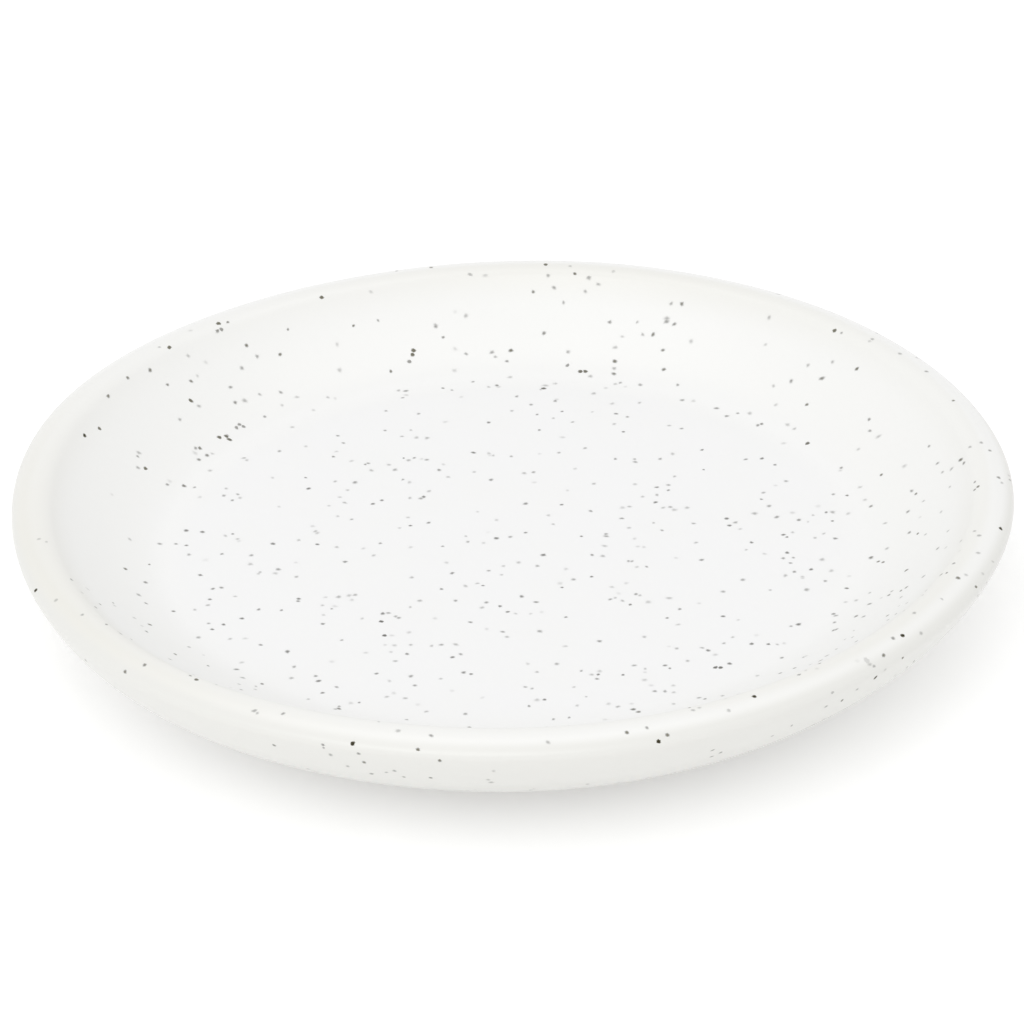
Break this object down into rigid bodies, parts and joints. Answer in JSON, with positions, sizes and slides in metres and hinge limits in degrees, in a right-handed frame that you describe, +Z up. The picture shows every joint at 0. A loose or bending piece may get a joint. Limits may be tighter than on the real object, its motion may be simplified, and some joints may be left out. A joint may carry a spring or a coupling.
{
  "type": "sauce dish",
  "caption": "Small round stoneware sauce dish with a shallow well, a broad rounded lip, a curved outer wall and a bare foot ring, in white speckled glaze.",
  "frame": {"origin": "centre of the foot ring's flat underside, on the surface that the dish stands on", "axes": "+Z up along the turning axis, out of the well; +X and +Y are level and alike, because the dish is round"},
  "size_m": [0.1, 0.1, 0.0148],
  "materials": {
    "fired_clay": "bare fired stoneware, matt",
    "white_glaze": "glossy white glaze with iron specks",
    "recess_glaze": "glossy white glaze with iron specks"
  },
  "bodies": {
    "root": {"stoneware_body": "fired_clay", "glaze_coat": "white_glaze", "foot_recess_glaze": "recess_glaze"}
  },
  "joints": []
}
